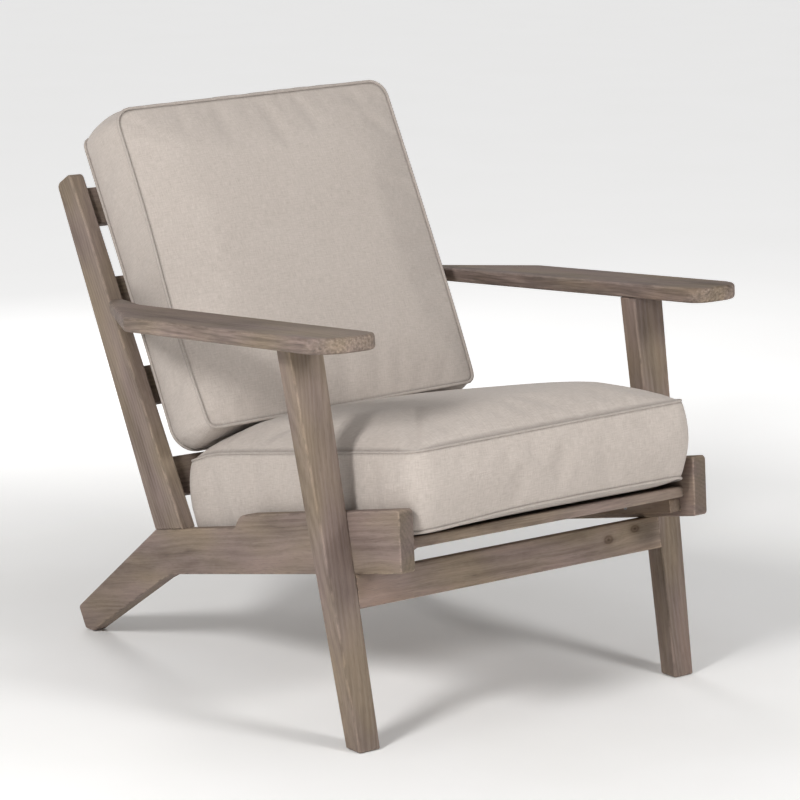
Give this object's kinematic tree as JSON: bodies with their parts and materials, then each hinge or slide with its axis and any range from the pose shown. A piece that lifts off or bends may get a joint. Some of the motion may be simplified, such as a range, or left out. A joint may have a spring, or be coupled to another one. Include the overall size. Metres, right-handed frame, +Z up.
{
  "type": "fireside armchair with loose cushions",
  "caption": "Low wooden fireside armchair: plank-sided frame with splayed legs, paddle armrests, reclined slatted back and loose piped box cushions for seat and back.",
  "frame": {"origin": "on the floor, in the middle of the chair's width and of its depth from the side rails' front ends to the back posts' tops", "axes": "+Z up; the chair faces -Y, so +Y points to its back; +X to the right as seen from the front, square to the plane that the chair is symmetric about"},
  "size_m": [0.7586, 0.8438, 0.7991],
  "materials": {
    "grey_washed_wood": "open-pored hardwood with a weathered brown-grey wash, dull",
    "dowel_wood": "plain hardwood dowel, glued",
    "zinc_steel": "zinc-plated steel",
    "insert_brass": "turned brass, plain",
    "glide_nylon": "dark nylon, matt",
    "oatmeal_linen": "plain-woven oatmeal linen blend over polyester wadding",
    "cushion_foam": "open-cell polyurethane foam",
    "zip_tape": "woven tape with a nylon coil",
    "zip_metal": "die-cast zinc, satin"
  },
  "bodies": {
    "frame": {"left_side_rail": "grey_washed_wood", "right_side_rail": "grey_washed_wood", "left_front_leg": "grey_washed_wood", "right_front_leg": "grey_washed_wood", "left_back_post": "grey_washed_wood", "right_back_post": "grey_washed_wood", "left_armrest": "grey_washed_wood", "right_armrest": "grey_washed_wood", "front_stretcher": "grey_washed_wood", "top_back_slat": "grey_washed_wood", "upper_back_slat": "grey_washed_wood", "lower_back_slat": "grey_washed_wood", "bottom_back_slat": "grey_washed_wood", "front_seat_slat": "grey_washed_wood", "second_seat_slat": "grey_washed_wood", "third_seat_slat": "grey_washed_wood", "fourth_seat_slat": "grey_washed_wood", "rear_seat_slat": "grey_washed_wood", "left_cleat": "grey_washed_wood", "right_cleat": "grey_washed_wood", "slat_dowels": "dowel_wood", "post_dowels": "dowel_wood", "armrest_dowels": "dowel_wood", "stretcher_dowels": "dowel_wood", "leg_bolts": "zinc_steel", "leg_inserts": "insert_brass", "cleat_screws": "zinc_steel", "seat_slat_screws": "zinc_steel", "front_glides": "glide_nylon", "rear_glides": "glide_nylon"},
    "seat_cushion": {"seat_cushion_cover": "oatmeal_linen", "seat_cushion_core": "cushion_foam", "seat_cushion_zip": "zip_tape"},
    "back_cushion": {"back_cushion_cover": "oatmeal_linen", "back_cushion_core": "cushion_foam", "back_cushion_zip": "zip_tape"},
    "seat_zip": {"seat_zip_slider": "zip_metal"},
    "back_zip": {"back_zip_slider": "zip_metal"}
  },
  "joints": [
    {"name": "seat_cushion_slide", "type": "slide", "parent": "frame", "child": "seat_cushion", "axis": [0, -0.9781, 0.2079], "range_m": [0, 0.54]},
    {"name": "back_cushion_slide", "type": "slide", "parent": "frame", "child": "back_cushion", "axis": [0, 0.4924, 0.8704], "range_m": [0, 0.5]},
    {"name": "seat_zip_slide", "type": "slide", "parent": "seat_cushion", "child": "seat_zip", "axis": [1, 0, 0], "range_m": [0, 0.28]},
    {"name": "back_zip_slide", "type": "slide", "parent": "back_cushion", "child": "back_zip", "axis": [1, 0, 0], "range_m": [0, 0.28]}
  ]
}
